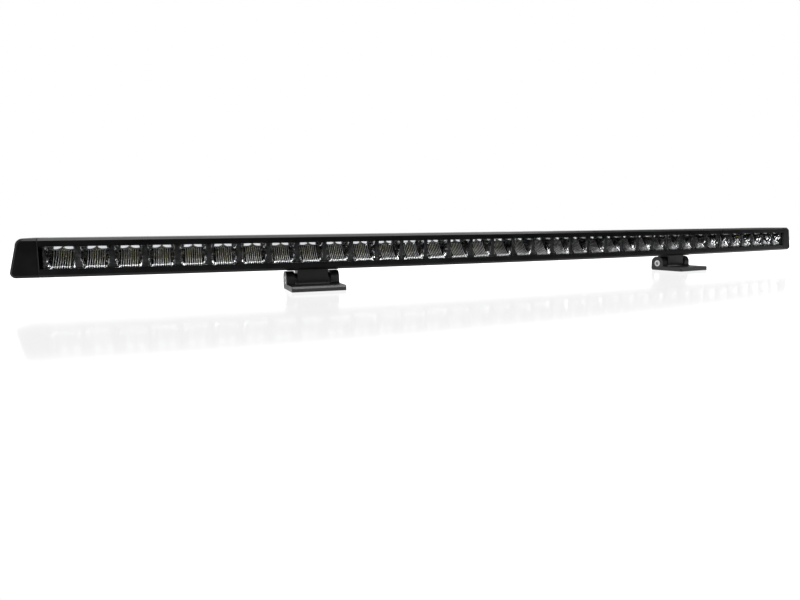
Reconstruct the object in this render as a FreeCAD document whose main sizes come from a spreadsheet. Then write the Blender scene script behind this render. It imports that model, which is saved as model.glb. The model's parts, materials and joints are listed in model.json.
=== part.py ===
"""Curved single-row LED light bar on two sliding, tilting feet.

The bar is a slim aluminium extrusion bowed in plan about one upright axis far behind it, so every long
piece is a section turned through a small angle about that axis. Each piece is drawn at the middle of the
bar and then swung about the same axis to its own station. X runs along the bar, the lens faces -Y, and Z
is up from the surface that the two feet stand on. The origin is at the middle of the base.
"""
import FreeCAD, Part
import math
import os
import re

import Sketcher

Vector = FreeCAD.Vector
Placement = FreeCAD.Placement
Rotation = FreeCAD.Rotation

SIZES = {
    # clearances, and how far a cutting tool runs past the face that it opens
    "play": 0.15,
    "running_play": 0.05,
    "overcut": 1.0,
    # the bar as a whole
    "bow_radius": 4200.0,
    "face_run": 1212.0,
    "bar_height": 41.4,
    "bar_depth": 52.0,
    "bar_base": 25.0,
    "edge_bevel": 2.6,
    # the extrusion: window, optics channel, web, driver channel, fins
    "window_height": 23.8,
    "window_lip": 3.0,
    "skin": 4.0,
    "optics_back": 20.5,
    "web_back": 26.5,
    "chamber_back": 41.0,
    "chamber_low": 12.0,
    "chamber_top": 9.0,
    "fin_root": 44.0,
    "fin_count": 6.0,
    "fin_thickness": 2.4,
    # the slot under the bar that the feet slide along
    "slot_station": 30.0,
    "slot_mouth": 8.4,
    "slot_lip": 2.5,
    "slot_width": 14.0,
    "slot_head": 6.0,
    # optics
    "lens_flange": 2.0,
    "seal_width": 1.85,
    "seal_thickness": 0.95,
    "cup_pitch": 33.5,
    "cup_count": 6.0,
    "module_count": 6.0,
    "cup_width": 29.0,
    "cup_rise": 12.0,
    "scoop_crown": 9.5,
    "scoop_back": 18.2,
    "reflector_front": 5.3,
    "reflector_back": 19.6,
    "reflector_base": 13.0,
    "reflector_roof": 1.5,
    "board_front": 6.4,
    "board_back": 18.9,
    "board_thickness": 1.6,
    "pad_thickness": 1.3,
    "pad_inset": 0.6,
    "led_station": 10.5,
    "led_side": 5.0,
    "led_height": 0.6,
    "phosphor_side": 4.0,
    "phosphor_height": 0.2,
    "led_opening": 8.0,
    # end caps and their gaskets and screws
    "gasket": 0.8,
    "gasket_inset": 0.5,
    "cap_length": 28.5,
    "cap_slant": 9.5,
    "cap_top_round": 8.0,
    "cap_low_round": 5.5,
    "cap_hollow": 8.2,
    "cap_wall": 2.0,
    "cap_screw_seat": 12.0,
    "port_radius": 1.7,
    "port_depth": 15.0,
    "lead_radius": 0.8,
    "lead_bend": 2.0,
    "lead_pitch": 1.8,
    "lead_run": 198.0,
    "lead_reach": 4.0,
    "lead_depth": 15.6,
    "lead_entry": 2.4,
    "lead_rise": 7.0,
    "lead_room": 0.2,
    # feet
    "bracket_station": 313.0,
    "foot_width": 66.0,
    "foot_depth": 56.0,
    "foot_plate": 6.2,
    "plate_bevel": 2.2,
    "plate_corner": 2.5,
    "heel_round": 3.0,
    "toe_round": 2.5,
    "foot_hole_spacing": 40.0,
    "foot_hole_radius": 3.3,
    "foot_hole_inset": 14.0,
    "cheek_width": 10.5,
    "cheek_depth": 21.6,
    "cheek_height": 21.8,
    "cheek_round": 9.0,
    "cut_out": 24.5,
    "pivot_height": 11.0,
    "pivot_inset": 10.8,
    "knuckle_width": 38.0,
    "knuckle_radius": 9.8,
    "shoe_width": 63.0,
    "shoe_depth": 24.0,
    "shoe_thickness": 1.8,
    "shoe_corner": 2.0,
    "tee_play": 0.4,
    # M6 pivot bolt and its nut, M5 set screws, M4 cap screws
    "pivot_radius": 3.0,
    "pivot_head_radius": 5.0,
    "pivot_head": 6.0,
    "pivot_tip": 0.6,
    "pivot_recess": 0.2,
    "seat_play": 0.25,
    "pivot_socket": 5.0,
    "pivot_nut": 5.0,
    "pivot_nut_flats": 10.0,
    "washer_radius": 8.0,
    "washer_play": 0.1,
    "set_screw_radius": 2.5,
    "set_screw_spacing": 24.0,
    "set_screw_offset": 6.3,
    "set_screw_length": 10.0,
    "set_screw_socket": 3.0,
    "cap_screw_radius": 1.65,
    "cap_screw_play": 0.45,
    "cap_screw_head_radius": 3.5,
    "cap_screw_head": 4.0,
    "cap_screw_length": 24.0,
    "cap_screw_socket": 3.0,
    # cable gland (M16) and breather on the back
    "thread_play": 0.1,
    "spigot": 4.5,
    "drill_reach": 6.0,
    "gland_thread_radius": 7.9,
    "gland_hex": 20.0,
    "gland_collar": 5.0,
    "gland_neck_radius": 7.5,
    "gland_neck": 13.0,
    "gland_inner_radius": 6.2,
    "gland_nut_hex": 22.0,
    "gland_grip": 9.0,
    "gland_dome": 5.5,
    "gland_nut_play": 0.1,
    "gland_bore": 3.6,
    "gland_mouth_radius": 4.8,
    "gland_seal": 10.0,
    "gland_seal_start": 3.0,
    "gland_relief": 34.0,
    "vent_station": 62.0,
    "vent_thread_radius": 3.9,
    "vent_hex": 15.0,
    "vent_hex_height": 3.0,
    "vent_cap_radius": 7.0,
    "vent_cap": 5.0,
    "vent_relief": 24.0,
    # driver board in the rear channel
    "driver_station": 280.0,
    "driver_length": 250.0,
    "driver_height": 15.0,
    "driver_face": 29.2,
    "driver_board": 1.6,
    "driver_rise": 21.5,
    "spacer_radius": 2.2,
    "spacer_length": 1.0,
    "spacer_inset": 8.0,
    "spacer_edge": 2.4,
    "coil_radius": 6.0,
    "coil_hole": 2.4,
    "coil_height": 6.5,
    "can_radius": 4.0,
    "can_height": 7.5,
    "chip_height": 7.0,
    "chip_thickness": 1.4,
}


def degrees_along(length):
    """Angle about the bow axis for a length measured along the front face."""
    return math.degrees(length / SIZES["bow_radius"])


SIZES["half_turn"] = degrees_along(SIZES["face_run"] / 2)
SIZES["cup_turn"] = degrees_along(SIZES["cup_pitch"])
SIZES["gap_turn"] = degrees_along(0.2)
SIZES["bar_middle"] = SIZES["bar_base"] + SIZES["bar_height"] / 2
SIZES["bar_top"] = SIZES["bar_base"] + SIZES["bar_height"]
SIZES["ceiling"] = SIZES["bar_middle"] + SIZES["cup_rise"]
SIZES["board_low"] = SIZES["ceiling"] + SIZES["reflector_roof"] + SIZES["play"]
SCOOP_REACH = SIZES["scoop_back"] - SIZES["reflector_front"]
SCOOP_DROP = SIZES["scoop_crown"] + SIZES["cup_rise"]
SIZES["scoop_radius"] = (SCOOP_REACH ** 2 + SCOOP_DROP ** 2) / (2 * SCOOP_REACH)
SIZES["fin_pitch"] = (SIZES["bar_height"] - SIZES["fin_thickness"]) / (SIZES["fin_count"] - 1)

# Bosses that the cap screws run into: distance behind the front face, height above the bar's underside.
SCREW_PORTS = ((40.0, 34.4), (40.5, 6.0), (23.5, 21.5))

# Hollows that the end caps and their gaskets share: front, back, low and high, measured in the same way.
CAP_HOLLOWS = (("window_lip + cap_wall", "optics_back - overcut", "skin + cap_wall",
                "bar_height - skin - cap_wall"),
               ("web_back + cap_wall", "chamber_back - 2 * cap_wall", "chamber_low + overcut",
                "bar_height - chamber_top - overcut"))

# Parts on the driver board by their distance from its middle: coils, capacitors, and chips with their widths.
COILS = (-75, -45, 30)
CANS = (-105, -20, 60, 75)
CHIPS = ((-3, 10), (6.5, 5), (95, 14), (108, 7))

doc = FreeCAD.newDocument("LightBar")
sheet = doc.addObject("Spreadsheet::Sheet", "Sheet")
for row, (alias, amount) in enumerate(SIZES.items(), 1):
    sheet.set(f"A{row}", alias)
    sheet.set(f"B{row}", repr(float(amount)))
    sheet.setAlias(f"B{row}", alias)
doc.recompute()

sub_parts = []


# ---------------------------------------------------------------- helpers

def sheet_terms(expression):
    """Write each size's name as a reference to its cell."""
    return re.sub(r"[a-z][a-z_]+", lambda word: f"Sheet.{word[0]}" if word[0] in SIZES else word[0],
                  str(expression))


def value(expression):
    """Number that an expression in sheet sizes stands for."""
    return float(sheet.evalExpression(sheet_terms(expression)))


def bind(item, path, expression):
    item.setExpression(path, sheet_terms(expression))


def swung(turn):
    """Placement that swings a piece from the bar's middle to a station, turn degrees towards +X."""
    return Placement(Vector(), Rotation(Vector(0, 0, 1), turn), Vector(0, SIZES["bow_radius"], 0))


def keep(item, label, turn=0.0):
    """Name a finished piece, put it at its station and list it for writing."""
    item.Label = label
    item.Placement = swung(turn).multiply(item.Placement)
    sub_parts.append(item)
    return item


def new_body(name):
    return doc.addObject("PartDesign::Body", name)


def sketch_on(body, role, name, shift=None, lift=None):
    """Sketch on one of the body's own planes; shift moves it along its X, lift along its normal."""
    sketch = body.newObject("Sketcher::SketchObject", name)
    plane = next(item for item in body.Origin.OriginFeatures if item.Role == role)
    sketch.AttachmentSupport = (plane, "")
    sketch.MapMode = "FlatFace"
    if shift is not None:
        bind(sketch, "AttachmentOffset.Base.x", shift)
    if lift is not None:
        bind(sketch, "AttachmentOffset.Base.z", lift)
    return sketch


def pin_point(sketch, edge, end, x, y):
    """Hold one end of an edge at x, y from the sketch's origin."""
    for kind, expression in (("DistanceX", x), ("DistanceY", y)):
        place = sketch.addConstraint(Sketcher.Constraint(kind, -1, 1, edge, end, value(expression)))
        bind(sketch, f"Constraints[{place}]", expression)


def add_outline(sketch, corners):
    """Closed straight-sided outline through corners given as pairs of expressions."""
    first = sketch.GeometryCount
    points = [Vector(value(x), value(y), 0) for x, y in corners]
    count = len(points)
    for index in range(count):
        sketch.addGeometry(Part.LineSegment(points[index], points[(index + 1) % count]), False)
    for index in range(count):
        following = first + (index + 1) % count
        sketch.addConstraint(Sketcher.Constraint("Coincident", first + index, 2, following, 1))
    for index, (x, y) in enumerate(corners):
        pin_point(sketch, first + index, 1, x, y)


def add_rectangle(sketch, left, right, low, high):
    add_outline(sketch, ((left, low), (right, low), (right, high), (left, high)))


def add_circle(sketch, x, y, radius):
    centre = Vector(value(x), value(y), 0)
    edge = sketch.addGeometry(Part.Circle(centre, Vector(0, 0, 1), value(radius)), False)
    pin_point(sketch, edge, 3, x, y)
    place = sketch.addConstraint(Sketcher.Constraint("Radius", edge, value(radius)))
    bind(sketch, f"Constraints[{place}]", radius)


def section_sketch(body, name, rectangles):
    """Sketch across the bar, measured back from the front face and up from the base surface."""
    sketch = sketch_on(body, "YZ_Plane", name, shift="bow_radius")
    for front, back, low, high in rectangles:
        add_rectangle(sketch, f"{front} - bow_radius", f"{back} - bow_radius", low, high)
    return sketch


def turn_section(body, kind, name, rectangles, half_turn):
    """Add or cut a section turned about the bow axis by half_turn degrees each way."""
    sketch = section_sketch(body, name + "Section", rectangles)
    feature = body.newObject(f"PartDesign::{kind}", name)
    feature.Profile = sketch
    feature.ReferenceAxis = (sketch, ["V_Axis"])
    feature.Midplane = True
    bind(feature, "Angle", f"2 * ({half_turn})")
    return feature


def pad(body, sketch, name, length, both_ways=False, backwards=False):
    feature = body.newObject("PartDesign::Pad", name)
    feature.Profile = sketch
    bind(feature, "Length", length)
    feature.SideType = "Symmetric" if both_ways else "One side"
    feature.Reversed = backwards
    return feature


def pocket(body, sketch, name, length, both_ways=False, backwards=False):
    """Cut a sketch into the body and make sure that it removes material."""
    doc.recompute()
    before = body.Shape.Volume
    feature = body.newObject("PartDesign::Pocket", name)
    feature.Profile = sketch
    bind(feature, "Length", length)
    feature.SideType = "Symmetric" if both_ways else "One side"
    feature.Reversed = backwards
    doc.recompute()
    if body.Shape.Volume >= before - 1e-3:
        raise RuntimeError(f"{name} cuts nothing")
    return feature


def edge_names(shape, wanted):
    """Names of a shape's edges that a test picks."""
    return [f"Edge{index}" for index, edge in enumerate(shape.Edges, 1) if wanted(edge)]


def dress(body, kind, name, size, wanted):
    """Fillet or chamfer the edges of the body that a test picks."""
    doc.recompute()
    base = body.Tip
    names = edge_names(base.Shape, wanted)
    if not names:
        raise RuntimeError(f"{name} finds no edge")
    feature = body.newObject(f"PartDesign::{kind}", name)
    feature.Base = (base, names)
    bind(feature, "Radius" if kind == "Fillet" else "Size", size)
    return feature


def cylinder(name, radius, length, place):
    item = doc.addObject("Part::Cylinder", name)
    bind(item, "Radius", radius)
    bind(item, "Height", length)
    item.Placement = place
    return item


def box(name, width, depth, height, place):
    item = doc.addObject("Part::Box", name)
    bind(item, "Length", width)
    bind(item, "Width", depth)
    bind(item, "Height", height)
    item.Placement = place
    return item


def hexagon(name, flats, length, place):
    item = doc.addObject("Part::Prism", name)
    item.Polygon = 6
    bind(item, "Circumradius", f"({flats}) / sqrt(3)")
    bind(item, "Height", length)
    item.Placement = place
    return item


def fused(name, *items):
    item = doc.addObject("Part::MultiFuse", name)
    item.Shapes = list(items)
    return item


def cut(name, base, tool):
    item = doc.addObject("Part::Cut", name)
    item.Base = base
    item.Tool = tool
    return item


def group(name, items):
    item = doc.addObject("Part::Compound", name)
    item.Links = list(items)
    return item


def copies(name, master, places):
    """Links to one master piece, one for each place."""
    links = []
    for index, place in enumerate(places, 1):
        link = doc.addObject("App::Link", f"{name}{index}")
        link.LinkedObject = master
        link.LinkTransform = True
        link.Placement = place
        links.append(link)
    return links


def at(x, y, z):
    return Placement(Vector(value(x), value(y), value(z)), Rotation())


def along_x(x, y, z, towards=1):
    """Place a piece drawn along Z so that it runs along X, towards +X or -X."""
    return Placement(Vector(value(x), value(y), value(z)), Rotation(Vector(0, 1, 0), 90 * towards))


def along_y(x, y, z, towards=1):
    """Place a piece drawn along Z so that it runs along Y, towards +Y or -Y."""
    return Placement(Vector(value(x), value(y), value(z)), Rotation(Vector(1, 0, 0), -90 * towards))


def station_turns(count, pitch_turn):
    """Turns of a row of stations centred on the bar's middle."""
    return [(index - (count - 1) / 2) * pitch_turn for index in range(count)]


def near(a, b):
    return abs(a - b) < 1e-3


# ---------------------------------------------------------------- the extrusion

def housing_extrusion():
    """The bowed extrusion: window, optics channel, driver channel, fins and underside slot."""
    body = new_body("HousingExtrusion")
    turn_section(body, "Revolution", "Bar", (("0", "bar_depth", "bar_base", "bar_top"),), "half_turn")

    def front_corner(edge):
        lengthwise = edge.Length > value("face_run") / 2
        middle = edge.valueAt((edge.FirstParameter + edge.LastParameter) / 2)
        return lengthwise and abs(middle.y) < 1

    dress(body, "Chamfer", "FrontBevels", "edge_bevel", front_corner)
    over = "half_turn + gap_turn"
    turn_section(body, "Groove", "Window",
                 (("-overcut", "window_lip + overcut / 2",
                   "bar_middle - window_height / 2", "bar_middle + window_height / 2"),),
                 over)
    turn_section(body, "Groove", "OpticsChannel",
                 (("window_lip", "optics_back", "bar_base + skin", "bar_top - skin"),), over)
    turn_section(body, "Groove", "DriverChannel",
                 (("web_back", "chamber_back", "bar_base + chamber_low", "bar_top - chamber_top"),), over)
    turn_section(body, "Groove", "SlotMouth",
                 (("slot_station - slot_mouth / 2", "slot_station + slot_mouth / 2",
                   "bar_base - overcut", "bar_base + slot_lip + overcut / 2"),), over)
    turn_section(body, "Groove", "SlotHead",
                 (("slot_station - slot_width / 2", "slot_station + slot_width / 2",
                   "bar_base + slot_lip", "bar_base + slot_lip + slot_head"),), over)
    gaps = []
    for index in range(int(SIZES["fin_count"]) - 1):
        low = f"bar_base + {index} * fin_pitch + fin_thickness"
        gaps.append(("fin_root", "bar_depth + overcut", low, f"bar_base + {index + 1} * fin_pitch"))
    turn_section(body, "Groove", "FinGaps", gaps, over)
    return body


def port_tools():
    """Drills for the cap screws' ports, at both ends."""
    tools = []
    for side in (-1, 1):
        for index, (depth, height) in enumerate(SCREW_PORTS):
            drill = cylinder(f"PortDrill{index}", "port_radius", "port_depth + overcut",
                             along_x(f"{side} * overcut", depth, f"bar_base + {height}", -side))
            drill.Placement = swung(side * SIZES["half_turn"]).multiply(drill.Placement)
            tools.append(drill)
    return tools


def relief_tools(name, relief, radius, turn):
    """Flat milled through the fins, and the threaded hole in it, for a fitting on the back."""
    flat = box(f"{name}Relief", relief, "bar_depth", "bar_height + 2 * overcut",
               at(f"-({relief}) / 2", "fin_root", "bar_base - overcut"))
    hole = cylinder(f"{name}Hole", radius, "2 * drill_reach",
                    along_y("0", "fin_root - drill_reach", "bar_middle"))
    for tool in (flat, hole):
        tool.Placement = swung(turn).multiply(tool.Placement)
    return [flat, hole]


def build_housing():
    tools = port_tools()
    tools += relief_tools("Gland", "gland_relief", "gland_thread_radius + thread_play", 0.0)
    tools += relief_tools("Vent", "vent_relief", "vent_thread_radius + thread_play",
                          degrees_along(SIZES["vent_station"]))
    keep(cut("Housing", housing_extrusion(), group("HousingDrills", tools)), "housing")


# ---------------------------------------------------------------- lens and optics

def build_lens():
    """Clear strip whose flange sits behind the window's lips and whose field fills the window."""
    body = new_body("Lens")
    reach = "half_turn - gap_turn"
    turn_section(body, "Revolution", "Flange",
                 (("window_lip + play", "window_lip + play + lens_flange",
                   "bar_base + skin + play", "bar_top - skin - play"),), reach)
    turn_section(body, "Revolution", "Field",
                 (("play", "window_lip + play + overcut / 2", "bar_middle - window_height / 2 + play",
                   "bar_middle + window_height / 2 - play"),), reach)
    keep(body, "lens")

    seals = []
    front = "window_lip + play + lens_flange + running_play"
    for name, low in (("LowSeal", "bar_base + skin + play"),
                      ("TopSeal", "bar_top - skin - play - seal_width")):
        seal = new_body(name)
        turn_section(seal, "Revolution", name + "Strip",
                     ((front, f"{front} + seal_thickness", low, f"{low} + seal_width"),), reach)
        seals.append(seal)
    keep(group("LensSeal", seals), "lens_seal")


def module_arc(body, kind, name, rectangles):
    """Section turned from half a cup before the first cup's middle to half a cup past the last one's."""
    sketch = section_sketch(body, name + "Section", rectangles)
    feature = body.newObject(f"PartDesign::{kind}", name)
    feature.Profile = sketch
    feature.ReferenceAxis = (sketch, ["V_Axis"])
    feature.Type = "TwoAngles"
    bind(feature, "Angle", "(cup_count - 0.5) * cup_turn - gap_turn / 2")
    bind(feature, "Angle2", "0.5 * cup_turn - gap_turn / 2")
    return sketch


def add_scoop(sketch):
    """Side view of one cup: flat ceiling, upright back, and a round scoop down to the lower lip."""
    lip = "bar_middle - cup_rise"
    crown = "bar_middle + scoop_crown"
    mouth = "reflector_front - overcut"
    corners = (("reflector_front", lip), (mouth, lip), (mouth, "ceiling"), ("scoop_back", "ceiling"),
               ("scoop_back", crown))
    points = [Vector(value(x), value(y), 0) for x, y in corners]
    for start, end in zip(points, points[1:]):
        sketch.addGeometry(Part.LineSegment(start, end), False)
    for index in range(3):
        sketch.addConstraint(Sketcher.Constraint("Coincident", index, 2, index + 1, 1))
    centre = Vector(value("scoop_back - scoop_radius"), value(crown), 0)
    low = math.atan2(points[0].y - centre.y, points[0].x - centre.x)
    round_part = Part.ArcOfCircle(Part.Circle(centre, Vector(0, 0, 1), value("scoop_radius")), low, 0)
    arc = sketch.addGeometry(round_part, False)
    sketch.addConstraint(Sketcher.Constraint("Coincident", arc, 1, 0, 1))
    sketch.addConstraint(Sketcher.Constraint("Coincident", arc, 2, 3, 2))
    for index, (x, y) in enumerate(corners[:4]):
        pin_point(sketch, index, 1, x, y)
    pin_point(sketch, 3, 2, *corners[4])
    place = sketch.addConstraint(Sketcher.Constraint("Radius", arc, value("scoop_radius")))
    bind(sketch, f"Constraints[{place}]", "scoop_radius")


def build_reflector(label, first_turn):
    """Strip of scoop-shaped cups, open in the ceiling over each LED."""
    body = new_body("Reflector")
    section = module_arc(body, "Revolution", "Strip",
                         (("reflector_front", "reflector_back", "bar_middle - reflector_base",
                           "ceiling + reflector_roof"),))
    side_view = sketch_on(body, "YZ_Plane", "CupSection")
    add_scoop(side_view)
    cup = pocket(body, side_view, "Cup", "cup_width", both_ways=True)
    top_view = sketch_on(body, "XY_Plane", "LedOpening", lift="ceiling")
    add_rectangle(top_view, "-led_opening / 2", "led_opening / 2",
                  "led_station - led_opening / 2", "led_station + led_opening / 2")
    opening = pocket(body, top_view, "LedOpeningCut", "3 * reflector_roof", both_ways=True)
    row = body.newObject("PartDesign::PolarPattern", "CupRow")
    row.Originals = [cup, opening]
    row.Axis = (section, ["V_Axis"])
    bind(row, "Angle", "(cup_count - 1) * cup_turn")
    row.Occurrences = int(SIZES["cup_count"])
    body.Tip = row
    keep(body, label, first_turn)


def build_board(label, first_turn):
    """LED board that lies over the reflector, its LEDs underneath."""
    body = new_body("LedBoard")
    module_arc(body, "Revolution", "Board",
               (("board_front", "board_back", "board_low", "board_low + board_thickness"),))
    keep(body, label, first_turn)


def led_master():
    """One LED package with its phosphor patch, facing down, its back at the drawing origin."""
    base = box("LedBase", "led_side", "led_side", "led_height",
               at("-led_side / 2", "-led_side / 2", "-led_height"))
    patch = box("LedPhosphor", "phosphor_side", "phosphor_side", "phosphor_height",
                at("-phosphor_side / 2", "-phosphor_side / 2", "-led_height - phosphor_height"))
    return fused("Led", base, patch)


def build_leds(label, master, first_turn):
    middle = at("0", "led_station", "board_low")
    places = [swung(index * SIZES["cup_turn"]).multiply(middle) for index in range(int(SIZES["cup_count"]))]
    keep(group("Leds", copies("LedCopy", master, places)), label, first_turn)


def build_thermal_pads(first_turns):
    """Pads that carry the boards' heat up into the top wall of the extrusion."""
    pads = []
    low = "board_low + board_thickness + running_play"
    for turn in first_turns:
        body = new_body("ThermalPad")
        module_arc(body, "Revolution", "Pad",
                   (("board_front + pad_inset", "board_back - pad_inset", low, f"{low} + pad_thickness"),))
        body.Placement = swung(turn)
        pads.append(body)
    keep(group("ThermalPads", pads), "thermal_pads")


def build_optics():
    """Six modules of cups, each with its own board and LEDs."""
    cups = int(SIZES["cup_count"])
    modules = int(SIZES["module_count"])
    middles = station_turns(modules, cups * SIZES["cup_turn"])
    first_turns = [middle - (cups - 1) / 2 * SIZES["cup_turn"] for middle in middles]
    led = led_master()
    for number, turn in enumerate(first_turns, 1):
        build_reflector(f"reflector_{number}", turn)
        build_board(f"led_board_{number}", turn)
        build_leds(f"leds_{number}", led, turn)
    build_thermal_pads(first_turns)


# ---------------------------------------------------------------- driver in the rear channel

def build_driver():
    """Long narrow driver board on spacers, with its coils, capacitors and chips behind it."""
    turn = degrees_along(SIZES["driver_station"])
    middle = "bar_base + driver_rise"
    back = "driver_face + driver_board"
    board = box("DriverBoard", "driver_length", "driver_board", "driver_height",
                at("-driver_length / 2", "driver_face", f"{middle} - driver_height / 2"))
    keep(board, "driver_board", turn)

    spacers = []
    for x in (-1, 1):
        for z in (-1, 1):
            place = along_y(f"{x} * (driver_length / 2 - spacer_inset)", "driver_face - spacer_length",
                            f"{middle} + {z} * (driver_height / 2 - spacer_edge)")
            spacers.append(cylinder("Spacer", "spacer_radius", "spacer_length", place))
    keep(group("DriverSpacers", spacers), "driver_spacers", turn)

    coils = []
    for x in COILS:
        ring = cylinder("CoilRing", "coil_radius", "coil_height", along_y(x, back, middle))
        hollow = cylinder("CoilHollow", "coil_hole", "coil_height + 2 * overcut",
                          along_y(x, f"{back} - overcut", middle))
        coils.append(cut("Coil", ring, hollow))
    keep(group("DriverCoils", coils), "driver_coils", turn)

    cans = [cylinder("Can", "can_radius", "can_height", along_y(x, back, middle)) for x in CANS]
    keep(group("DriverCapacitors", cans), "driver_capacitors", turn)

    chips = [box("Chip", width, "chip_thickness", "chip_height",
                 at(f"{x} - {width} / 2", back, f"{middle} - chip_height / 2")) for x, width in CHIPS]
    keep(group("DriverChips", chips), "driver_chips", turn)


# ---------------------------------------------------------------- cable gland and breather

def build_gland():
    """Screwed cable gland on the flat in the middle of the back: body, dome nut and rubber seal."""
    root = "fin_root + running_play"
    spigot = cylinder("GlandSpigot", "gland_thread_radius", "spigot + 2 * running_play",
                      along_y("0", "fin_root - spigot", "bar_middle"))
    collar = hexagon("GlandCollar", "gland_hex", "gland_collar", along_y("0", root, "bar_middle"))
    neck = cylinder("GlandNeck", "gland_neck_radius", "gland_neck", along_y("0", root, "bar_middle"))
    bore = cylinder("GlandBore", "gland_inner_radius", "bar_depth",
                    along_y("0", "fin_root - drill_reach", "bar_middle"))
    keep(cut("GlandBody", fused("GlandBodySolid", spigot, collar, neck), bore), "cable_gland_body")

    grip_start = f"{root} + gland_collar + gland_nut_play"
    grip = hexagon("GlandGrip", "gland_nut_hex", "gland_grip", along_y("0", grip_start, "bar_middle"))
    dome = doc.addObject("Part::Cone", "GlandDome")
    bind(dome, "Radius1", "gland_nut_hex / 2")
    bind(dome, "Radius2", "gland_bore + skin")
    bind(dome, "Height", "gland_dome")
    dome.Placement = along_y("0", f"{grip_start} + gland_grip", "bar_middle")
    nut_bore = cylinder("NutBore", "gland_neck_radius + gland_nut_play",
                        "gland_neck - gland_collar + gland_nut_play",
                        along_y("0", f"{root} + gland_collar", "bar_middle"))
    mouth = cylinder("NutMouth", "gland_mouth_radius", "bar_depth",
                     along_y("0", f"{root} + gland_collar", "bar_middle"))
    tools = fused("NutTools", nut_bore, mouth)
    keep(cut("GlandNut", fused("GlandNutSolid", grip, dome), tools), "cable_gland_nut")

    sleeve = cylinder("SealSleeve", "gland_inner_radius - gland_nut_play", "gland_seal",
                      along_y("0", "fin_root + gland_seal_start", "bar_middle"))
    passage = cylinder("SealPassage", "gland_bore", "gland_seal + 2 * overcut",
                       along_y("0", "fin_root + gland_seal_start - overcut", "bar_middle"))
    keep(cut("GlandSeal", sleeve, passage), "cable_gland_seal")


def build_vent():
    """Breather plug that lets the sealed bar equalise its pressure."""
    seat = along_y("0", "fin_root + running_play", "bar_middle")
    stem = cylinder("VentStem", "vent_thread_radius", "spigot + 2 * overcut",
                    along_y("0", "fin_root - spigot", "bar_middle"))
    flange = hexagon("VentFlange", "vent_hex", "vent_hex_height", seat)
    cap = cylinder("VentCap", "vent_cap_radius", "vent_cap", seat)
    keep(fused("Vent", stem, flange, cap), "breather_vent", degrees_along(SIZES["vent_station"]))


# ---------------------------------------------------------------- end caps

def cap_outer(height):
    """How far the cap reaches at a height above the bar's underside."""
    return f"gasket + cap_length - cap_slant * ({height}) / bar_height"


def build_end_cap(side, label):
    """Closed cap with a slanted end, a hollow for the leads and deep seats for its three screws."""
    body = new_body("EndCap")
    outline = sketch_on(body, "XZ_Plane", "CapOutline")
    inner = f"{side} * gasket"
    add_outline(outline, ((inner, "bar_base"), (f"{side} * ({cap_outer(0)})", "bar_base"),
                          (f"{side} * ({cap_outer('bar_height')})", "bar_top"), (inner, "bar_top")))
    pad(body, outline, "CapBlock", "bar_depth", backwards=True)

    def corner_at(level):
        def wanted(edge):
            ends = [vertex.Point for vertex in edge.Vertexes]
            return (near(ends[0].x, ends[1].x) and near(ends[0].z, level) and near(ends[1].z, level)
                    and abs(ends[0].x) > value("cap_hollow"))
        return wanted

    dress(body, "Fillet", "TopRound", "cap_top_round", corner_at(value("bar_top")))
    dress(body, "Fillet", "LowRound", "cap_low_round", corner_at(value("bar_base")))

    def rim_at(depth):
        def wanted(edge):
            ends = [vertex.Point for vertex in edge.Vertexes]
            on_face = all(near(point.y, depth) for point in ends)
            inner_edge = all(near(abs(point.x), value("gasket")) for point in ends)
            return on_face and not inner_edge
        return wanted

    dress(body, "Chamfer", "FrontBevel", "edge_bevel", rim_at(0))
    dress(body, "Chamfer", "RearBevel", "edge_bevel / 2", rim_at(value("bar_depth")))

    lead_channel = ("optics_back - 1.5 * overcut", "web_back + 1.5 * cap_wall",
                    "bar_height / 2 + lead_rise - lead_radius - lead_room",
                    "bar_height / 2 + lead_rise + lead_pitch + lead_radius + lead_room")
    names = ("FrontHollow", "RearHollow", "LeadChannel")
    for name, (front_side, back_side, low, high) in zip(names, (*CAP_HOLLOWS, lead_channel)):
        sketch = sketch_on(body, "YZ_Plane", name + "Sketch", lift=inner)
        add_rectangle(sketch, front_side, back_side, f"bar_base + {low}", f"bar_base + {high}")
        pocket(body, sketch, name, "cap_hollow", backwards=side > 0)
    seats = sketch_on(body, "YZ_Plane", "ScrewSeats", lift=f"{side} * cap_screw_seat")
    holes = sketch_on(body, "YZ_Plane", "ScrewHoles", lift=inner)
    for depth, height in SCREW_PORTS:
        add_circle(seats, depth, f"bar_base + {height}", "cap_screw_head_radius + play")
        add_circle(holes, depth, f"bar_base + {height}", "cap_screw_radius + cap_screw_play")
    pocket(body, seats, "Seats", "cap_length", backwards=side > 0)
    pocket(body, holes, "Holes", "cap_length", backwards=side > 0)
    keep(body, label, side * SIZES["half_turn"])


def build_end_gasket(side, label):
    body = new_body("EndGasket")
    sheet_outline = sketch_on(body, "YZ_Plane", "GasketOutline")
    add_rectangle(sheet_outline, "gasket_inset", "bar_depth - gasket_inset",
                  "bar_base + gasket_inset", "bar_top - gasket_inset")
    pad(body, sheet_outline, "GasketSheet", "gasket", backwards=side < 0)
    openings = sketch_on(body, "YZ_Plane", "GasketOpenings")
    for front, back, low, high in CAP_HOLLOWS:
        add_rectangle(openings, front, back, f"bar_base + {low}", f"bar_base + {high}")
    for depth, height in SCREW_PORTS:
        add_circle(openings, depth, f"bar_base + {height}", "cap_screw_radius + cap_screw_play")
    pocket(body, openings, "Openings", "3 * gasket", both_ways=True)
    keep(body, label, side * SIZES["half_turn"])


def socket_screw(name, radius, length, head_radius, head, socket):
    """Socket-head screw: head from 0 up to its height along Z, shank below 0."""
    shank = cylinder(f"{name}Shank", radius, f"{length} + overcut", at("0", "0", f"-({length})"))
    top = cylinder(f"{name}Head", head_radius, head, at("0", "0", "0"))
    key = hexagon(f"{name}Key", socket, head, at("0", "0", f"({head}) / 2"))
    return cut(name, fused(f"{name}Solid", shank, top), key)


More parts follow.
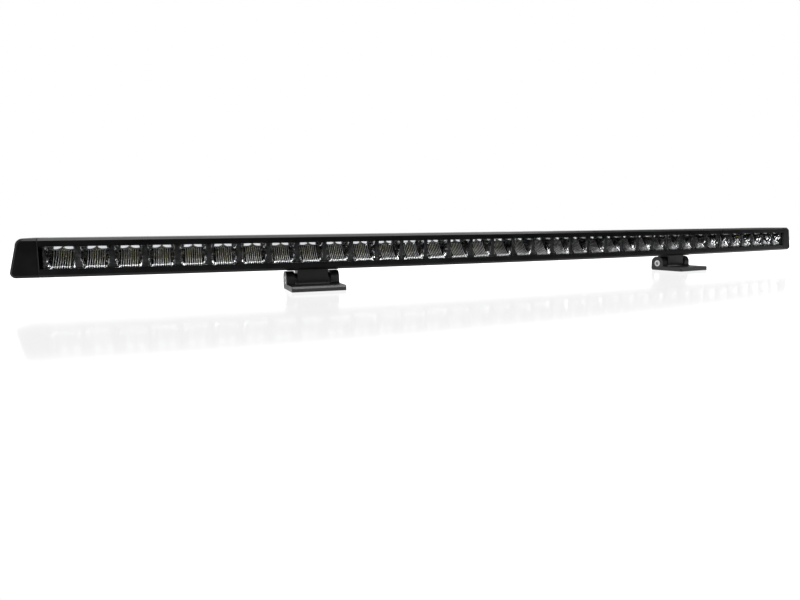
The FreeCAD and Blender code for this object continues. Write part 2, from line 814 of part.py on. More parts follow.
def build_end_screws(side, label, master):
    places = [along_x(f"{side} * (cap_screw_seat + running_play)", depth, f"bar_base + {height}", side)
              for depth, height in SCREW_PORTS]
    keep(group("EndScrews", copies("EndScrew", master, places)), label, side * SIZES["half_turn"])


def build_led_leads():
    """Two insulated leads that turn through the right end cap, from the driver channel to the LED boards."""
    turn_x = value("gasket + lead_reach")
    board_level = value("board_low - lead_radius - 2 * running_play")
    leads = []
    for index in range(2):
        level = value(f"bar_middle + lead_rise + {index} * lead_pitch")
        depth = value(f"lead_depth + {index} * lead_pitch")
        rear = value("chamber_back - cap_hollow")
        corners = [Vector(-value("lead_run"), rear, level), Vector(turn_x, rear, level),
                   Vector(turn_x, depth, level), Vector(turn_x, depth, board_level),
                   Vector(-value("lead_entry"), depth, board_level)]
        leads.append(rounded_tube(corners, value("lead_bend"), value("lead_radius")))
    item = doc.addObject("Part::Feature", "LedLeads")
    item.Shape = Part.makeCompound(leads)
    keep(item, "led_leads", SIZES["half_turn"])


def rounded_tube(corners, bend, radius):
    """Round tube along straight runs joined by tangent arcs."""
    edges = []
    start = corners[0]
    for before, corner, after in zip(corners, corners[1:], corners[2:]):
        inward = (before - corner).normalize()
        outward = (after - corner).normalize()
        half = inward.getAngle(outward) / 2
        reach = bend / math.tan(half)
        enter = corner + inward * reach
        leave = corner + outward * reach
        centre = corner + (inward + outward).normalize() * (bend / math.sin(half))
        crown = centre + (corner - centre).normalize() * bend
        edges.append(Part.LineSegment(start, enter).toShape())
        edges.append(Part.Arc(enter, crown, leave).toShape())
        start = leave
    edges.append(Part.LineSegment(start, corners[-1]).toShape())
    ring = Part.Wire(Part.makeCircle(radius, corners[0], corners[1] - corners[0]))
    return Part.Wire(edges).makePipeShell([ring], True, False)


def build_ends():
    screw = socket_screw("CapScrew", "cap_screw_radius", "cap_screw_length", "cap_screw_head_radius",
                         "cap_screw_head", "cap_screw_socket")
    for side, word in ((-1, "left"), (1, "right")):
        build_end_cap(side, f"end_cap_{word}")
        build_end_gasket(side, f"end_gasket_{word}")
        build_end_screws(side, f"end_screws_{word}", screw)
    build_led_leads()


# ---------------------------------------------------------------- feet

FOOT_REAR = "slot_station + pivot_inset"


def build_foot(label, turn):
    """Foot: a plate with two cheeks at its rear, cut out between them so that the knuckle can swing."""
    body = new_body("Foot")
    front = f"{FOOT_REAR} - foot_depth"
    block = sketch_on(body, "YZ_Plane", "FootSection")
    add_outline(block, ((front, "0"), (FOOT_REAR, "0"), (FOOT_REAR, "cheek_height"),
                        (f"{FOOT_REAR} - cheek_depth", "cheek_height"),
                        (f"{FOOT_REAR} - cheek_depth", "foot_plate"), (front, "foot_plate")))
    pad(body, block, "FootBlock", "foot_width", both_ways=True)

    def crosswise_at(depth, level):
        def wanted(edge):
            ends = [vertex.Point for vertex in edge.Vertexes]
            return (all(near(point.y, value(depth)) and near(point.z, value(level)) for point in ends)
                    and edge.Length > value("foot_width") / 2)
        return wanted

    cheek_front = f"{FOOT_REAR} - cheek_depth"
    dress(body, "Fillet", "CheekFrontTop", "cheek_round", crosswise_at(cheek_front, "cheek_height"))
    dress(body, "Fillet", "CheekRearTop", "cheek_round", crosswise_at(FOOT_REAR, "cheek_height"))
    dress(body, "Fillet", "CheekRearLow", "heel_round", crosswise_at(FOOT_REAR, "0"))
    dress(body, "Fillet", "CheekToe", "toe_round", crosswise_at(cheek_front, "foot_plate"))
    dress(body, "Chamfer", "FootFrontBevel", "plate_bevel", crosswise_at(front, "foot_plate"))
    gap = sketch_on(body, "XY_Plane", "CheekGap")
    add_rectangle(gap, "cheek_width - foot_width / 2", "foot_width / 2 - cheek_width",
                  f"{FOOT_REAR} - cut_out", f"{FOOT_REAR} + overcut")
    pocket(body, gap, "CheekGapCut", "3 * cheek_height", both_ways=True)

    def plate_corner(edge):
        ends = [vertex.Point for vertex in edge.Vertexes]
        upright = near(ends[0].x, ends[1].x) and near(ends[0].y, ends[1].y)
        return upright and near(ends[0].y, value(front)) and near(abs(ends[0].x), value("foot_width / 2"))

    dress(body, "Fillet", "PlateCorners", "plate_corner", plate_corner)
    bolt_holes = sketch_on(body, "XY_Plane", "BoltHoles")
    for side in (-1, 1):
        add_circle(bolt_holes, f"{side} * foot_hole_spacing / 2", f"{front} + foot_hole_inset",
                   "foot_hole_radius")
    pocket(body, bolt_holes, "BoltHolesCut", "3 * foot_plate", both_ways=True)

    pivot = sketch_on(body, "YZ_Plane", "PivotHole")
    add_circle(pivot, "slot_station", "pivot_height", "pivot_radius + running_play")
    pocket(body, pivot, "PivotHoleCut", "2 * foot_width", both_ways=True)
    head_seat = sketch_on(body, "YZ_Plane", "HeadSeat", lift="pivot_head + pivot_recess - foot_width / 2")
    add_circle(head_seat, "slot_station", "pivot_height", "pivot_head_radius + seat_play")
    pocket(body, head_seat, "HeadSeatCut", "foot_width / 4")
    nut_seat = sketch_on(body, "YZ_Plane", "NutSeat",
                         lift="foot_width / 2 - pivot_nut - seat_play - running_play")
    add_hexagon(nut_seat, "slot_station", "pivot_height", "pivot_nut_flats + seat_play")
    pocket(body, nut_seat, "NutSeatCut", "foot_width / 4", backwards=True)
    keep(body, label, turn)


def add_hexagon(sketch, x, y, flats):
    """Hexagon with one corner straight above its centre."""
    corners = []
    for index in range(6):
        angle = 60 * index + 90
        reach = f"({flats}) / sqrt(3)"
        corners.append((f"{x} + {reach} * cos({angle})", f"{y} + {reach} * sin({angle})"))
    add_outline(sketch, corners)


def build_knuckle(label, turn):
    """Block that hangs from the slot by a tee and turns on the pivot bolt between the cheeks.

    Its shoe is a thin plate under the bar, as wide as the foot.
    """
    body = new_body("Knuckle")
    top = "bar_base - running_play"
    block = sketch_on(body, "YZ_Plane", "BlockSection")
    add_rectangle(block, "slot_station - knuckle_radius", "slot_station + knuckle_radius",
                  "pivot_height - knuckle_radius", top)
    pad(body, block, "Block", "knuckle_width", both_ways=True)

    def low_corner(edge):
        ends = [vertex.Point for vertex in edge.Vertexes]
        level = value("pivot_height - knuckle_radius")
        return all(near(point.z, level) for point in ends) and near(edge.Length, value("knuckle_width"))

    dress(body, "Fillet", "Barrel", "0.999 * knuckle_radius", low_corner)
    shoe = sketch_on(body, "YZ_Plane", "ShoeSection")
    add_rectangle(shoe, "slot_station - shoe_depth / 2", "slot_station + shoe_depth / 2",
                  f"{top} - shoe_thickness", top)
    pad(body, shoe, "Shoe", "shoe_width", both_ways=True)

    def shoe_corner(edge):
        ends = [vertex.Point for vertex in edge.Vertexes]
        return (near(abs(ends[0].x), value("shoe_width / 2")) and near(edge.Length, value("shoe_thickness"))
                and near(ends[0].x, ends[1].x))

    dress(body, "Fillet", "ShoeCorners", "shoe_corner", shoe_corner)
    tee_turn = repr(degrees_along(SIZES["knuckle_width"] / 2))
    turn_section(body, "Revolution", "Neck",
                 (("slot_station - slot_mouth / 2 + tee_play", "slot_station + slot_mouth / 2 - tee_play",
                   "bar_base - overcut", "bar_base + slot_lip + overcut / 2"),), tee_turn)
    turn_section(body, "Revolution", "Tee",
                 (("slot_station - slot_width / 2 + tee_play", "slot_station + slot_width / 2 - tee_play",
                   "bar_base + slot_lip + running_play", "bar_base + slot_lip + slot_head - 2 * tee_play"),),
                 tee_turn)
    pivot = sketch_on(body, "YZ_Plane", "PivotBore")
    add_circle(pivot, "slot_station", "pivot_height", "pivot_radius + running_play")
    pocket(body, pivot, "PivotBoreCut", "2 * knuckle_width", both_ways=True)
    screws = sketch_on(body, "XY_Plane", "SetScrewHoles", lift=top)
    for side in (-1, 1):
        add_circle(screws, f"{side} * set_screw_spacing / 2", "slot_station + set_screw_offset",
                   "set_screw_radius + running_play")
    pocket(body, screws, "SetScrewHolesCut", "bar_base")
    keep(body, label, turn)


def build_set_screws(label, turn, master):
    level = "bar_base - running_play - set_screw_length"
    places = [at(f"{side} * set_screw_spacing / 2", "slot_station + set_screw_offset", level)
              for side in (-1, 1)]
    keep(group("SetScrews", copies("SetScrew", master, places)), label, turn)


def set_screw_master():
    """Grub screw that bears up on the bar and so pulls the tee down; its key socket opens downwards."""
    stud = cylinder("SetScrewStud", "set_screw_radius", "set_screw_length", at("0", "0", "0"))
    key = hexagon("SetScrewKey", "set_screw_radius", "set_screw_socket + overcut", at("0", "0", "-overcut"))
    return cut("SetScrewMaster", stud, key)


def build_pivot(word, turn, bolt, nut):
    """Bolt, nut and two washers of one foot."""
    place = along_x("pivot_head + pivot_recess - foot_width / 2", "slot_station", "pivot_height", -1)
    keep(group("PivotBolt", copies("PivotBoltCopy", bolt, [place])), f"pivot_bolt_{word}", turn)
    place = along_x("foot_width / 2 - pivot_nut - seat_play", "slot_station", "pivot_height")
    keep(group("PivotNut", copies("PivotNutCopy", nut, [place])), f"pivot_nut_{word}", turn)
    washers = []
    for side in (-1, 1):
        start = f"{side} * (knuckle_width / 2 + washer_play)"
        disc = cylinder("WasherDisc", "washer_radius",
                        "foot_width / 2 - cheek_width - knuckle_width / 2 - 2 * washer_play",
                        along_x(start, "slot_station", "pivot_height", side))
        hole = cylinder("WasherHole", "pivot_radius + running_play", "foot_width",
                        along_x("-foot_width / 2", "slot_station", "pivot_height"))
        washers.append(cut("Washer", disc, hole))
    keep(group("PivotWashers", washers), f"pivot_washers_{word}", turn)


def build_feet():
    bolt = socket_screw("PivotScrew", "pivot_radius", "foot_width - pivot_head - pivot_tip",
                        "pivot_head_radius", "pivot_head", "pivot_socket")
    nut_block = hexagon("NutBlock", "pivot_nut_flats", "pivot_nut", at("0", "0", "0"))
    nut_hole = cylinder("NutHole", "pivot_radius + running_play", "2 * pivot_nut", at("0", "0", "-overcut"))
    nut = cut("NutMaster", nut_block, nut_hole)
    grub = set_screw_master()
    for side, word in ((-1, "left"), (1, "right")):
        turn = side * degrees_along(SIZES["bracket_station"])
        build_foot(f"foot_{word}", turn)
        build_knuckle(f"knuckle_{word}", turn)
        build_set_screws(f"slide_set_screws_{word}", turn, grub)
        build_pivot(word, turn, bolt, nut)


# ---------------------------------------------------------------- build, check and write

def check_objects():
    for item in doc.Objects:
        if "Invalid" in item.State or "Error" in item.State:
            raise RuntimeError(f"{item.Label} failed: {item.State}")
    for item in sub_parts:
        shape = item.Shape
        if shape.isNull() or not shape.isValid() or shape.Volume <= 0:
            raise RuntimeError(f"{item.Label} has no valid shape")


def whole_box():
    whole = FreeCAD.BoundBox()
    for item in sub_parts:
        whole.add(item.Shape.BoundBox)
    return whole


def centre_frame():
    """Move every sub-part so that the origin is the middle of the base, half way from front to back."""
    middle = whole_box().Center.y
    for item in sub_parts:
        item.Placement = Placement(Vector(0, -middle, 0), Rotation()).multiply(item.Placement)
    doc.recompute()
    print(f"bow axis at y {SIZES['bow_radius'] - middle:.4f}")


def write_parts():
    os.makedirs("parts", exist_ok=True)
    for item in sub_parts:
        item.Shape.exportStep(os.path.join("parts", f"{item.Label}.step"))
    print(f"{len(sub_parts)} sub-parts, box {whole_box()}")


build_housing()
build_lens()
build_optics()
build_driver()
build_gland()
build_vent()
build_ends()
build_feet()
doc.recompute()
centre_frame()
check_objects()
write_parts()
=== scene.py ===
"""Looks for the curved LED light bar: materials, fluted reflectors, camera, floor and light.

Everything is in metres in the row frame: X along the bar, the lens faces -Y, Z up from the floor. The bar
is bowed about an upright axis behind it, so new pieces are drawn in a flat frame (along, depth, height) at
the middle of the bar and then swung about that axis to their station.
"""
import json
import math
import random

import bpy
from mathutils import Matrix, Vector


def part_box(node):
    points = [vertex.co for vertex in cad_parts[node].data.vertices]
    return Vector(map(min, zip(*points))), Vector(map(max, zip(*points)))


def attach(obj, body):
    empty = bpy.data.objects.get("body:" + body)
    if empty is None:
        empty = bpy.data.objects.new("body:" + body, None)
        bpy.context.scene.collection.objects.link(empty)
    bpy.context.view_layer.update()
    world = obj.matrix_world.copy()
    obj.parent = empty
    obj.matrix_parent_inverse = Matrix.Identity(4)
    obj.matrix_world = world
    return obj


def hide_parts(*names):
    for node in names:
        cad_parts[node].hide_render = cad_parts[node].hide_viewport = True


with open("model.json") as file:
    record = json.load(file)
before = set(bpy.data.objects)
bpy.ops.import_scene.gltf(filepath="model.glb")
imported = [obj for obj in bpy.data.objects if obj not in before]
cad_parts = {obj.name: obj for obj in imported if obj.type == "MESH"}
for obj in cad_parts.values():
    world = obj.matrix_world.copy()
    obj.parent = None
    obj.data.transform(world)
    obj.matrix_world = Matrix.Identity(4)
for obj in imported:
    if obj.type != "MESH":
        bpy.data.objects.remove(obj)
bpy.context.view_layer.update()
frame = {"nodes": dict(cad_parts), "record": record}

MM = 0.001
BOW_RADIUS = 4200 * MM
BAR_MIDDLE = 45.7 * MM
CUP_PITCH = 33.5 * MM
CUPS = 6
MODULES = 6

LENS_SET_BACK = 0.15 * MM

lens_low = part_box("lens")[0]
FACE_Y = lens_low.y - LENS_SET_BACK
BOW_Y = FACE_Y + BOW_RADIUS


def swing(angle, along, depth, height):
    """A point drawn at the middle of the bar, swung about the bow axis. Depth is measured from the face."""
    back = depth - BOW_RADIUS
    return Vector((math.cos(angle) * along - math.sin(angle) * back,
                   math.sin(angle) * along + math.cos(angle) * back + BOW_Y,
                   height))


# ---------------------------------------------------------------- materials

def new_material(name):
    material = bpy.data.materials.new(name)
    material.use_nodes = True
    return material, material.node_tree, material.node_tree.nodes["Principled BSDF"]


def noise(tree, scale, detail=3.0, stretch=(1, 1, 1)):
    """Noise over the object's own coordinates."""
    place = tree.nodes.new("ShaderNodeTexCoord")
    mapping = tree.nodes.new("ShaderNodeMapping")
    mapping.inputs["Scale"].default_value = stretch
    texture = tree.nodes.new("ShaderNodeTexNoise")
    texture.inputs["Scale"].default_value = scale
    texture.inputs["Detail"].default_value = detail
    tree.links.new(place.outputs["Object"], mapping.inputs["Vector"])
    tree.links.new(mapping.outputs["Vector"], texture.inputs["Vector"])
    return texture.outputs["Fac"]


def spread(tree, factor, low, high):
    """Maps a factor of about 0.3 to 0.7 onto low to high."""
    remap = tree.nodes.new("ShaderNodeMapRange")
    remap.inputs["From Min"].default_value = 0.3
    remap.inputs["From Max"].default_value = 0.7
    remap.inputs["To Min"].default_value = low
    remap.inputs["To Max"].default_value = high
    tree.links.new(factor, remap.inputs["Value"])
    return remap.outputs["Result"]


def tint(tree, factor, dark, light):
    ramp = tree.nodes.new("ShaderNodeValToRGB")
    ramp.color_ramp.elements[0].position = 0.3
    ramp.color_ramp.elements[0].color = (*dark, 1)
    ramp.color_ramp.elements[1].position = 0.7
    ramp.color_ramp.elements[1].color = (*light, 1)
    tree.links.new(factor, ramp.inputs["Fac"])
    return ramp.outputs["Color"]


def bump(tree, shader, factor, strength, distance):
    node = tree.nodes.new("ShaderNodeBump")
    node.inputs["Strength"].default_value = strength
    node.inputs["Distance"].default_value = distance
    tree.links.new(factor, node.inputs["Height"])
    tree.links.new(node.outputs["Normal"], shader.inputs["Normal"])


def plain(name, dark, light, rough, metallic=0.0, grain=2500, patch=60, height=0.2, depth=0.02 * MM,
          specular=0.5, stretch=(1, 1, 1)):
    """A solid finish: patchy colour and roughness with a fine grain in its surface."""
    material, tree, shader = new_material(name)
    shader.inputs["Metallic"].default_value = metallic
    shader.inputs["Specular IOR Level"].default_value = specular
    patches = noise(tree, patch, stretch=stretch)
    tree.links.new(tint(tree, patches, dark, light), shader.inputs["Base Color"])
    tree.links.new(spread(tree, patches, *rough), shader.inputs["Roughness"])
    bump(tree, shader, noise(tree, grain, 2.0, stretch), height, depth)
    return material


def grey(value, warm=0.0):
    return (value * (1 + warm), value, value * (1 - warm))


def clear_material():
    """Polycarbonate that lets lamps through, so what is behind it is lit."""
    material, tree, shader = new_material("clear_lens")
    shader.inputs["Transmission Weight"].default_value = 1.0
    shader.inputs["IOR"].default_value = 1.2
    shader.inputs["Roughness"].default_value = 0.0
    shader.inputs["Base Color"].default_value = (0.93, 0.94, 0.95, 1)
    see = tree.nodes.new("ShaderNodeBsdfTransparent")
    see.inputs["Color"].default_value = (0.9, 0.9, 0.9, 1)
    path = tree.nodes.new("ShaderNodeLightPath")
    mix = tree.nodes.new("ShaderNodeMixShader")
    out = tree.nodes["Material Output"]
    tree.links.new(path.outputs["Is Shadow Ray"], mix.inputs["Fac"])
    tree.links.new(shader.outputs["BSDF"], mix.inputs[1])
    tree.links.new(see.outputs["BSDF"], mix.inputs[2])
    tree.links.new(mix.outputs["Shader"], out.inputs["Surface"])
    return material


MATERIALS = {
    "housing_aluminium": plain("housing_black", grey(0.0025), grey(0.0045), (0.27, 0.36), patch=40,
                               height=0.12, specular=0.2),
    "cap_black": plain("cap_black", grey(0.002), grey(0.0035), (0.34, 0.42), grain=3500, specular=0.15),
    "bracket_black": plain("bracket_black", grey(0.008), grey(0.014), (0.36, 0.46), grain=3500, height=0.3),
    "lens_clear": clear_material(),
    "seal_rubber": plain("seal_rubber", grey(0.012), grey(0.02), (0.6, 0.75)),
    "reflector_metallised": plain("mirror_metal", grey(0.78), grey(0.86), (0.03, 0.06), 1.0, height=0.01),
    "circuit_board": plain("circuit_board", grey(0.55), grey(0.65), (0.35, 0.5)),
    "led_package": plain("led_phosphor", (0.42, 0.36, 0.03), (0.55, 0.48, 0.05), (0.3, 0.4)),
    "thermal_pad": plain("thermal_pad", grey(0.3), grey(0.4), (0.7, 0.85)),
    "driver_circuit": plain("driver_board", (0.010, 0.04, 0.02), (0.016, 0.06, 0.03), (0.35, 0.5)),
    "driver_plastic": plain("driver_plastic", grey(0.015), grey(0.03), (0.4, 0.55)),
    "coil_copper": plain("coil_copper", (0.55, 0.2, 0.08), (0.7, 0.3, 0.13), (0.3, 0.45), 1.0),
    "capacitor_can": plain("capacitor_can", grey(0.5), grey(0.6), (0.25, 0.35), 1.0),
    "gland_plastic": plain("gland_nylon", grey(0.012), grey(0.02), (0.4, 0.5)),
    "lead_insulation": plain("lead_insulation", (0.35, 0.02, 0.02), (0.45, 0.03, 0.03), (0.45, 0.55)),
    "stainless": plain("stainless_steel", grey(0.5), grey(0.62), (0.2, 0.32), 1.0, grain=4000),
    "washer_nylon": plain("washer_nylon", grey(0.02), grey(0.03), (0.45, 0.55)),
}

slots = {part["node"]: part["material_slot"] for part in frame["record"]["subparts"]}
for node, piece in frame["nodes"].items():
    piece.data.materials.clear()
    piece.data.materials.append(MATERIALS[slots[node]])


# ---------------------------------------------------------------- fluted reflectors

CUP_HALF = 14.0 * MM
SCOOP_HALF = 9.4 * MM
CUP_FRONT = 5.4 * MM
CUP_BACK = 19.9 * MM
CUP_TOP = BAR_MIDDLE + 11.95 * MM
CUP_LOW = BAR_MIDDLE - 11.6 * MM
LED_DEPTH = 9.5 * MM
LED_LEVEL = CUP_TOP + 0.9 * MM
LED_OPENING = 2.8 * MM
AIM = math.radians(3.5)
FLUTES = 8
FLUTE_RISE = 0.2 * MM
FLUTE_STEPS = 6
CREST = (2, 3)
CREST_TOP = CUP_TOP - 5.5 * MM
CROWN_BLEND = 2.5 * MM
SCOOP_STEPS = 28
LOBE_MIDDLE = 6.7 * MM
LOBE_HALF = 6.3 * MM
LOBE_HEIGHT = 4.4 * MM
LOBE_TILT = 0.45
WALL_STEPS = 6
WALL_ROWS = 10
FACET = 0.28 * MM
STRIP_LOW = BAR_MIDDLE - 13 * MM
STRIP_TOP = BAR_MIDDLE + 13.4 * MM
ROOF = 1.45 * MM
LOBE_RIM = 0.25 * MM
FLUTE_FADE = 1.5 * MM

MIRROR, MASK, CREST_LINE, CEILING, WALL, SHADED_VALLEY = range(6)


class Sheet:
    """Vertices and faces of one mesh, with a kind for each face; the walls' facets stay flat."""

    def __init__(self):
        self.points = []
        self.faces = []
        self.kinds = []

    def grid(self, rows, kind, flip=False):
        first = len(self.points)
        width = len(rows[0])
        for row in rows:
            self.points += row
        for r in range(len(rows) - 1):
            for c in range(width - 1):
                a = first + r * width + c
                face = (a, a + 1, a + width + 1, a + width)
                self.faces.append(face[::-1] if flip else face)
                self.kinds.append(kind)

    def build(self, name, materials):
        mesh = bpy.data.meshes.new(name)
        mesh.from_pydata(self.points, [], self.faces)
        for material in materials:
            mesh.materials.append(material)
        for face, kind in zip(mesh.polygons, self.kinds):
            face.material_index = kind
            face.use_smooth = kind != WALL
        piece = bpy.data.objects.new(name, mesh)
        bpy.context.scene.collection.objects.link(piece)
        return piece


def smooth_step(part):
    part = min(max(part, 0.0), 1.0)
    return part * part * (3 - 2 * part)


def scoop_half(height):
    """Half width of the cup's back: the full cup in its crown, narrower between the slanted walls."""
    return SCOOP_HALF + (CUP_HALF - SCOOP_HALF) * smooth_step((height - CREST_TOP) / CROWN_BLEND)


def flute(along, height):
    """How far one of the upright flutes stands forward of the scoop at this place."""
    half = scoop_half(height)
    part = (along + half) / (2 * half) * FLUTES % 1.0
    return FLUTE_RISE * 4 * part * (1 - part)


def lobe_height(along):
    """Height of the two rounded hollows at the top of the cup."""
    part = (abs(along) - LOBE_MIDDLE) / LOBE_HALF
    return LOBE_RIM + LOBE_HEIGHT * math.sqrt(max(0.0, 1 - part * part))


def scoop_curve(height):
    """Depth of a mirror that sends light from the LED forward and slightly up, through this height."""
    drop = LED_LEVEL - height
    reach = 2 * (CUP_BACK - LED_DEPTH) - math.sin(AIM) * drop
    return LED_DEPTH + (reach * reach - drop * drop) / (2 * reach)


def scoop_depth(along, height):
    """Depth of the cup's back: it overhangs a little in the lobes, then sweeps forward to the lower lip."""
    crown = CUP_TOP - lobe_height(along)
    if height > crown:
        rise = height - crown
        return scoop_curve(crown) - LOBE_TILT * rise * rise / (2 * (CUP_TOP - crown))
    fade = smooth_step((crown - height) / FLUTE_FADE)
    return max(scoop_curve(height) - flute(along, height) * fade, CUP_FRONT)


def scoop_row(angle, columns, height):
    """Points across the cup's back at one height; columns run from -1 to 1 across its width."""
    reach = scoop_half(height)
    return [swing(angle, reach * c, scoop_depth(reach * c, height), height) for c in columns]


def add_cup(sheet, angle, chance):
    steps = FLUTES * FLUTE_STEPS
    columns = [2 * c / steps - 1 for c in range(steps + 1)]
    heights = [CUP_TOP + (CUP_LOW - CUP_TOP) * r / SCOOP_STEPS for r in range(SCOOP_STEPS + 1)]
    crown = [z for z in heights if z > CREST_TOP]
    below = heights[len(crown) - 1:]
    sheet.grid([scoop_row(angle, columns, z) for z in crown], MIRROR)
    for step in range(steps):
        # Crest stripes are the mirror metal made rougher; valley stripes are the mirror metal darkened,
        # painted shade in the hollows between the ribs.
        kind = CREST_LINE if step % FLUTE_STEPS in CREST else SHADED_VALLEY
        sheet.grid([scoop_row(angle, columns[step:step + 2], z) for z in below], kind)
    for side in (-1, 1):
        add_wall(sheet, angle, side, chance)
    add_ceiling(sheet, angle)


def add_wall(sheet, angle, side, chance):
    """Side wall of one cup, pressed into small tilted facets; its darkened metal is painted shade on the
    wall.
    """
    rows = []
    for row in range(WALL_ROWS + 1):
        z = CUP_TOP + (CUP_LOW - CUP_TOP) * row / WALL_ROWS
        half = scoop_half(z)
        back = scoop_depth(side * half, z)
        points = []
        for step in range(WALL_STEPS + 1):
            inner = 0 < step < WALL_STEPS and 0 < row < WALL_ROWS
            push = chance.random() * FACET if inner else 0.0
            part = step / WALL_STEPS
            inward = (CUP_HALF - half) * part + push
            points.append(swing(angle, side * (CUP_HALF - inward), CUP_FRONT + (back - CUP_FRONT) * part, z))
        rows.append(points)
    sheet.grid(rows, WALL, side < 0)


def flat_patch(sheet, angle, left, right, front, back, height, kind):
    sheet.grid([[swing(angle, x, d, height) for d in (front, back)] for x in (left, right)], kind)


def add_ceiling(sheet, angle):
    """Roof of one cup, open under its LED; its near-black colour is painted shade at the top of the cup."""
    front, back = LED_DEPTH - LED_OPENING, LED_DEPTH + LED_OPENING
    for left, right in ((-CUP_HALF, -LED_OPENING), (LED_OPENING, CUP_HALF)):
        flat_patch(sheet, angle, left, right, CUP_FRONT, CUP_BACK, CUP_TOP, CEILING)
    flat_patch(sheet, angle, -LED_OPENING, LED_OPENING, CUP_FRONT, front, CUP_TOP, CEILING)
    flat_patch(sheet, angle, -LED_OPENING, LED_OPENING, back, CUP_BACK, CUP_TOP, CEILING)
    for depth in (front, back):
        sheet.grid([[swing(angle, x, depth, z) for x in (-LED_OPENING, LED_OPENING)]
                    for z in (CUP_TOP, CUP_TOP + ROOF)], CEILING)
    for side in (-LED_OPENING, LED_OPENING):
        sheet.grid([[swing(angle, side, d, z) for d in (front, back)]
                    for z in (CUP_TOP, CUP_TOP + ROOF)], CEILING)


def add_front(sheet, angle):
    """The strip's black front face round one cup."""
    half = CUP_PITCH / 2
    for side in (-1, 1):
        sheet.grid([[swing(angle, side * CUP_HALF, CUP_FRONT, z), swing(angle, side * half, CUP_FRONT, z)]
                    for z in (STRIP_LOW, STRIP_TOP)], MASK, side < 0)
    for low, high in ((STRIP_LOW, CUP_LOW), (CUP_TOP, STRIP_TOP)):
        sheet.grid([[swing(angle, -CUP_HALF, CUP_FRONT, z), swing(angle, CUP_HALF, CUP_FRONT, z)]
                    for z in (low, high)], MASK)


cup_turn = CUP_PITCH / BOW_RADIUS
mask = plain("reflector_mask", grey(0.006), grey(0.01), (0.35, 0.45))
crest = plain("reflector_crest", grey(0.8), grey(0.9), (0.38, 0.46), 1.0)
# Side wall facets: the mirror metal at about half its colour, painted shade on the cups' side walls.
facet_painted_shade = plain("reflector_facets_painted_shade", grey(0.36), grey(0.46), (0.08, 0.14), 1.0, height=0.01)
# Valleys between the flutes: the mirror metal at well under half its colour, painted shade in the ribs'
# hollows.
valley_painted_shade = plain("reflector_valley_painted_shade", grey(0.3), grey(0.4), (0.05, 0.1), 1.0, height=0.01)
# Cup roof: near black, painted shade at the top of each cup.
roof = plain("reflector_roof", grey(0.012), grey(0.02), (0.4, 0.5))
finishes = [MATERIALS["reflector_metallised"], mask, crest, roof, facet_painted_shade, valley_painted_shade]
for number in range(MODULES):
    strip = Sheet()
    chance = random.Random(number)
    for cup in range(CUPS):
        angle = (number * CUPS + cup - (MODULES * CUPS - 1) / 2) * cup_turn
        add_cup(strip, angle, chance)
        add_front(strip, angle)
    node = f"reflector_{number + 1}"
    piece = strip.build(f"{node}_fluted", finishes)
    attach(piece, "bar")
    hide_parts(node)


# ---------------------------------------------------------------- camera, floor and light

SENSOR_WIDTH = 36
LENS_LENGTH = 27.485
CAMERA_PLACE = (-0.53039, -0.74114, 0.07803)
CAMERA_TURN = (0.43454, 0.12336, -0.007635)


def add_camera():
    data = bpy.data.cameras.new("camera")
    data.sensor_width = SENSOR_WIDTH
    data.lens = LENS_LENGTH
    data.clip_start = 0.01
    data.clip_end = 50
    camera = bpy.data.objects.new("camera", data)
    yaw, pitch, roll = CAMERA_TURN
    forward = Vector((math.sin(yaw) * math.cos(pitch), math.cos(yaw) * math.cos(pitch), -math.sin(pitch)))
    right = Vector((math.cos(yaw), -math.sin(yaw), 0))
    up = right.cross(forward)
    turned_right = right * math.cos(roll) + up * math.sin(roll)
    turned_up = up * math.cos(roll) - right * math.sin(roll)
    basis = Matrix((turned_right, turned_up, -forward)).transposed()
    camera.matrix_world = Matrix.Translation(Vector(CAMERA_PLACE)) @ basis.to_4x4()
    bpy.context.scene.collection.objects.link(camera)
    bpy.context.scene.camera = camera


TABLE_EDGE = -0.16
TABLE_FADE = 0.12
TABLE_FRONT = -0.85
TABLE_REACH = (2.2, 2.4)
TABLE_POINTS = 96
TABLE_GLOW = 0.87


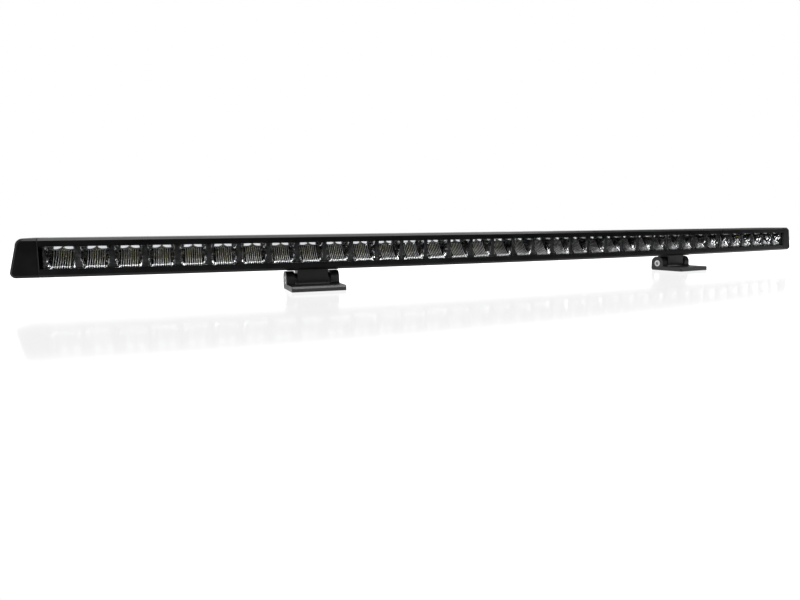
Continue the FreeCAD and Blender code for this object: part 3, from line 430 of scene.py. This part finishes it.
def add_floor():
    """White glossy table. The bar's own reflections see it as bright only close in front of the bar."""
    mesh = bpy.data.meshes.new("floor")
    points = []
    for step in range(TABLE_POINTS):
        turn = 2 * math.pi * step / TABLE_POINTS
        x = TABLE_REACH[0] * math.cos(turn)
        y = TABLE_REACH[1] * math.sin(turn)
        points.append((x, max(y, TABLE_FRONT), 0))
    mesh.from_pydata(points, [], [tuple(range(TABLE_POINTS))])
    floor = bpy.data.objects.new("floor", mesh)
    material, tree, shader = new_material("floor_white")
    shader.inputs["Base Color"].default_value = (0, 0, 0, 1)
    shader.inputs["Roughness"].default_value = 0.1
    shader.inputs["IOR"].default_value = 2.0
    shader.inputs["Emission Color"].default_value = (1, 1, 1, 1)
    shader.inputs["Emission Strength"].default_value = TABLE_GLOW
    table = tree.nodes.new("ShaderNodeEmission")
    place = tree.nodes.new("ShaderNodeTexCoord")
    split = tree.nodes.new("ShaderNodeSeparateXYZ")
    fade = tree.nodes.new("ShaderNodeMapRange")
    fade.interpolation_type = "SMOOTHSTEP"
    fade.inputs["From Min"].default_value = TABLE_EDGE - TABLE_FADE
    fade.inputs["From Max"].default_value = TABLE_EDGE
    fade.inputs["To Min"].default_value = 0.02
    fade.inputs["To Max"].default_value = 1.0
    path = tree.nodes.new("ShaderNodeLightPath")
    mix = tree.nodes.new("ShaderNodeMixShader")
    tree.links.new(place.outputs["Object"], split.inputs["Vector"])
    tree.links.new(split.outputs["Y"], fade.inputs["Value"])
    tree.links.new(fade.outputs["Result"], table.inputs["Strength"])
    tree.links.new(path.outputs["Is Camera Ray"], mix.inputs["Fac"])
    tree.links.new(table.outputs["Emission"], mix.inputs[1])
    tree.links.new(shader.outputs["BSDF"], mix.inputs[2])
    tree.links.new(mix.outputs["Shader"], tree.nodes["Material Output"].inputs["Surface"])
    mesh.materials.append(material)
    bpy.context.scene.collection.objects.link(floor)


def add_lamp(name, place, target, size, power):
    data = bpy.data.lights.new(name, "AREA")
    data.shape = "RECTANGLE"
    data.size, data.size_y = size
    data.energy = power
    lamp = bpy.data.objects.new(name, data)
    lamp.location = place
    lamp.rotation_mode = "QUATERNION"
    lamp.rotation_quaternion = (Vector(target) - Vector(place)).to_track_quat("-Z", "Y")
    bpy.context.scene.collection.objects.link(lamp)


def add_world():
    """White behind the bar and dark in front of it, so its face stays black; always white to the camera."""
    world = bpy.data.worlds.new("studio")
    bpy.context.scene.world = world
    world.use_nodes = True
    tree = world.node_tree
    ground = tree.nodes["Background"]
    place = tree.nodes.new("ShaderNodeTexCoord")
    split = tree.nodes.new("ShaderNodeSeparateXYZ")
    ramp = tree.nodes.new("ShaderNodeValToRGB")
    remap = tree.nodes.new("ShaderNodeMapRange")
    remap.inputs["From Min"].default_value = -1
    remap.inputs["From Max"].default_value = 1
    ramp.color_ramp.elements[0].position = 0.40
    ramp.color_ramp.elements[0].color = (0.03, 0.03, 0.03, 1)
    ramp.color_ramp.elements[1].position = 0.62
    ramp.color_ramp.elements[1].color = (0.9, 0.9, 0.9, 1)
    path = tree.nodes.new("ShaderNodeLightPath")
    mix = tree.nodes.new("ShaderNodeMix")
    mix.data_type = "RGBA"
    mix.inputs["B"].default_value = (1, 1, 1, 1)
    tree.links.new(place.outputs["Generated"], split.inputs["Vector"])
    tree.links.new(split.outputs["Y"], remap.inputs["Value"])
    tree.links.new(remap.outputs["Result"], ramp.inputs["Fac"])
    tree.links.new(path.outputs["Is Camera Ray"], mix.inputs["Factor"])
    tree.links.new(ramp.outputs["Color"], mix.inputs["A"])
    tree.links.new(mix.outputs["Result"], ground.inputs["Color"])


add_camera()
add_floor()
add_world()
add_lamp("overhead", (0, 0.1, 1.5), (0, 0, 0), (2.4, 1.0), 45)
add_lamp("strip_left", (-2.1, -1.6, 0.9), (0, 0, 0.05), (0.25, 1.6), 10)
add_lamp("strip_right", (0.6, -2.2, 1.1), (0, 0, 0.05), (0.25, 1.2), 8)
add_lamp("front_top", (-0.2, -1.0, 1.3), (0, 0, 0.05), (2.4, 0.25), 13)
scene = bpy.context.scene
scene.view_settings.view_transform = "Standard"
scene.view_settings.look = "None"
